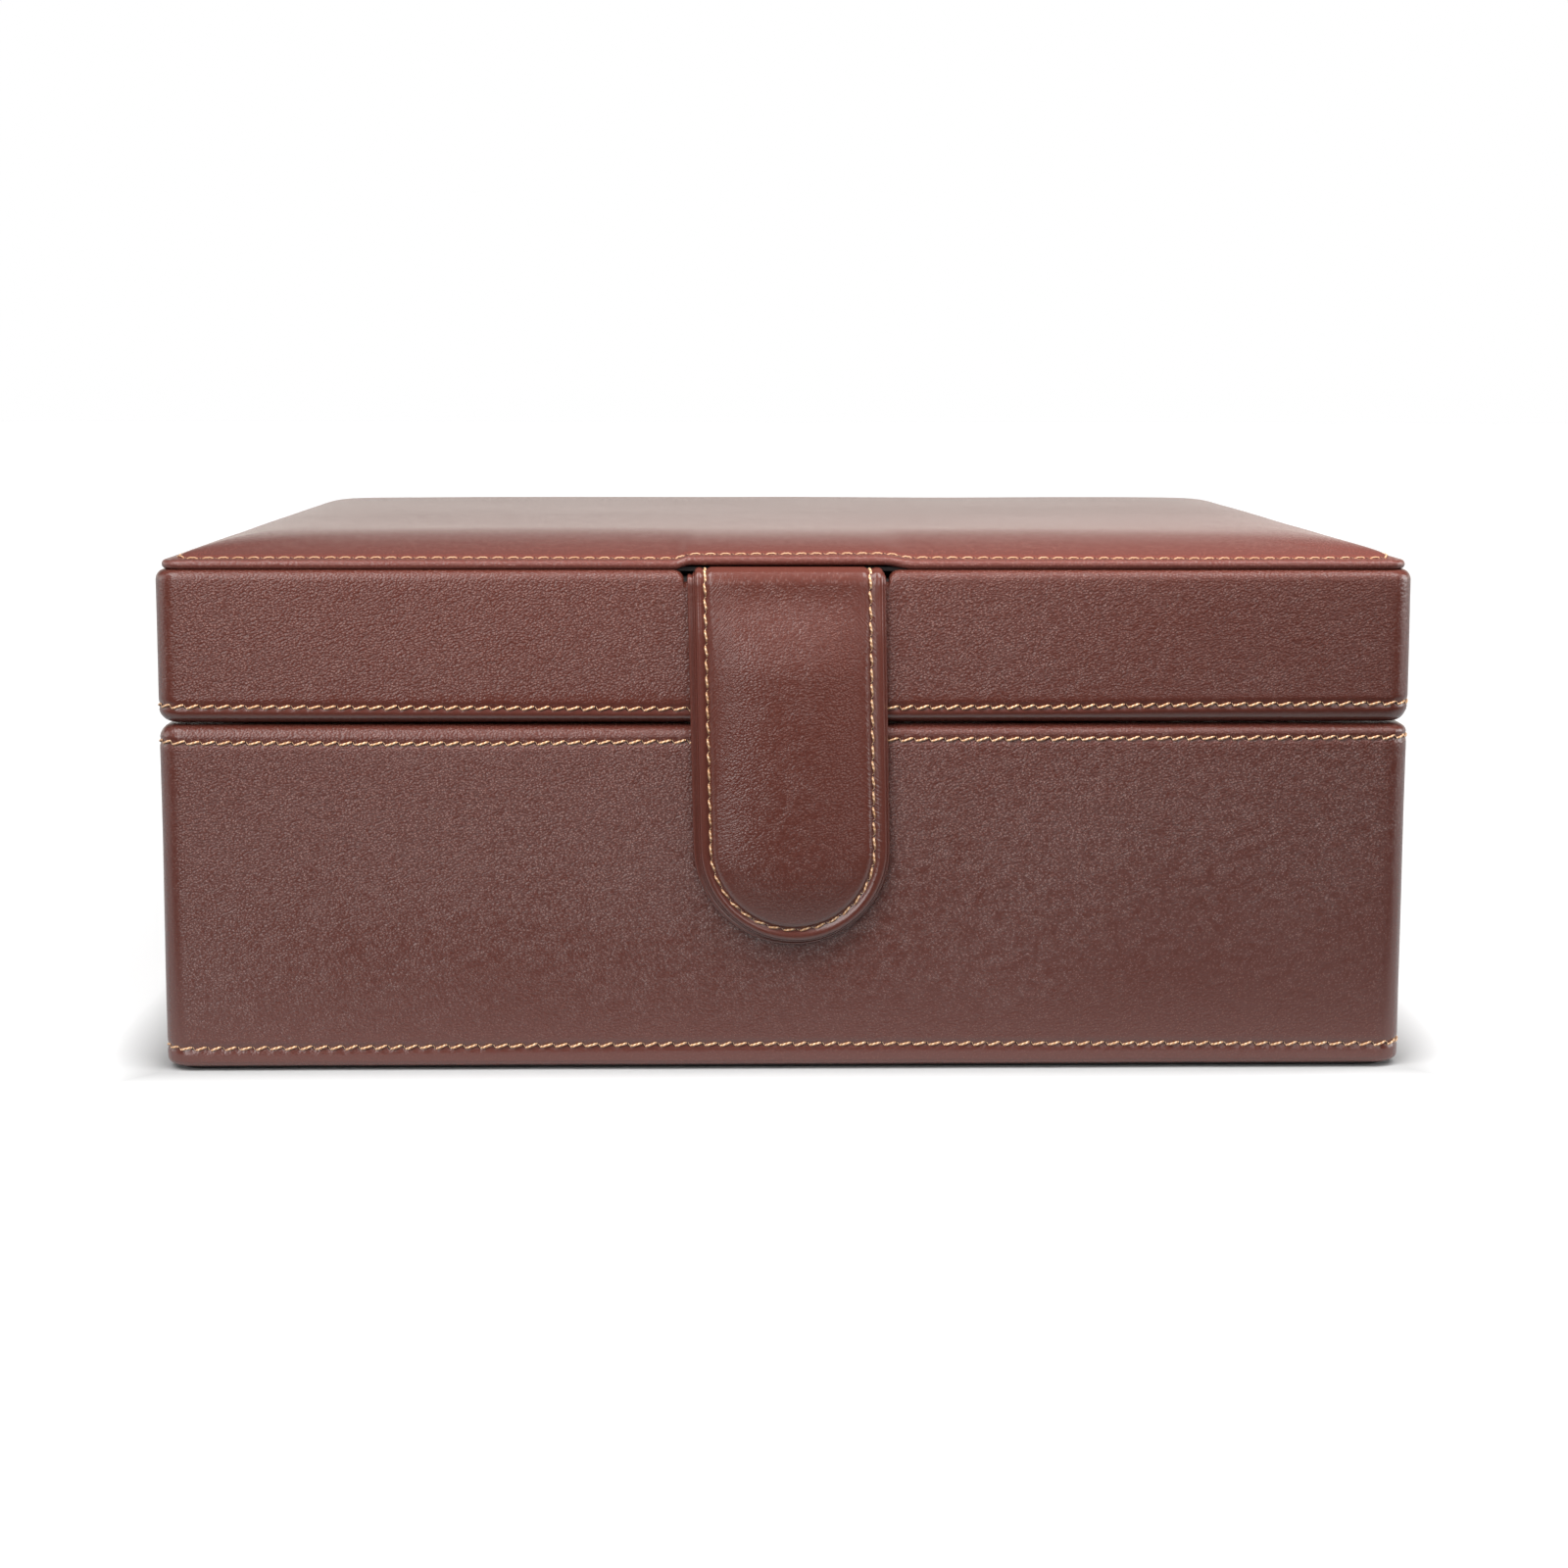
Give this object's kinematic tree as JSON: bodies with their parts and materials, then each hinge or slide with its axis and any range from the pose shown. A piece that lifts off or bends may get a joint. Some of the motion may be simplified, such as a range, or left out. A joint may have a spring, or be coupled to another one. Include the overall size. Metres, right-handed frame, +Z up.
{
  "type": "leather jewellery case",
  "caption": "Leather-covered jewellery case with a hinged padded lid, a magnetic closing tab, suede lining, ring rolls and open compartments.",
  "frame": {"origin": "middle of the case's flat underside, left out of account the tab in front", "axes": "+X to the right along the front, +Y to the back, +Z up; the closing tab is at -Y"},
  "size_m": [0.265, 0.2155, 0.1138],
  "materials": {
    "leather": "fine pebble grain",
    "dark leather": "matt",
    "board": "raw",
    "suede": "napped",
    "foam": "raw",
    "brass": "satin",
    "steel": "plated"
  },
  "bodies": {
    "base": {"base_back_board": "board", "base_back_lining": "suede", "base_bottom_cover": "dark leather", "base_floor_board": "board", "base_floor_lining": "suede", "base_front_board": "board", "base_front_lining": "suede", "base_keeper_disc": "steel", "base_leather_wrap": "leather", "base_left_board": "board", "base_left_lining": "suede", "base_right_board": "board", "base_right_lining": "suede", "divider_cross": "suede", "divider_long": "suede", "divider_short": "suede", "hinge_base_screws": "brass", "hinge_left_base_leaf": "brass", "hinge_left_pin": "brass", "hinge_right_base_leaf": "brass", "hinge_right_pin": "brass", "ring_bay_block": "suede", "ring_roll_1": "suede", "ring_roll_10": "suede", "ring_roll_11": "suede", "ring_roll_2": "suede", "ring_roll_3": "suede", "ring_roll_4": "suede", "ring_roll_5": "suede", "ring_roll_6": "suede", "ring_roll_7": "suede", "ring_roll_8": "suede", "ring_roll_9": "suede"},
    "lid": {"lid_back_board": "board", "lid_back_lining": "suede", "lid_front_board": "board", "lid_front_lining": "suede", "lid_leather_wrap": "leather", "lid_left_board": "board", "lid_left_lining": "suede", "lid_pad_lining": "suede", "lid_right_board": "board", "lid_right_lining": "suede", "lid_top_board": "board", "top_panel_backing": "board", "top_panel_foam": "foam", "top_panel_leather": "leather", "tab_tongue": "leather", "hinge_left_lid_leaf": "brass", "hinge_right_lid_leaf": "brass", "hinge_lid_screws": "brass"},
    "tab": {"tab_face_leather": "leather", "tab_core": "foam", "tab_backing_leather": "leather", "tab_magnet": "steel"}
  },
  "joints": [
    {"name": "lid_hinge", "type": "hinge", "parent": "base", "child": "lid", "pos_m": [0, 0.1032, 0.07445], "axis": [-1, 0, 0], "range_deg": [0, 95]},
    {"name": "tab_flap", "type": "hinge", "parent": "lid", "child": "tab", "pos_m": [0.0008, -0.1079, 0.1036], "axis": [-1, 0, 0], "range_deg": [0, 110]}
  ]
}
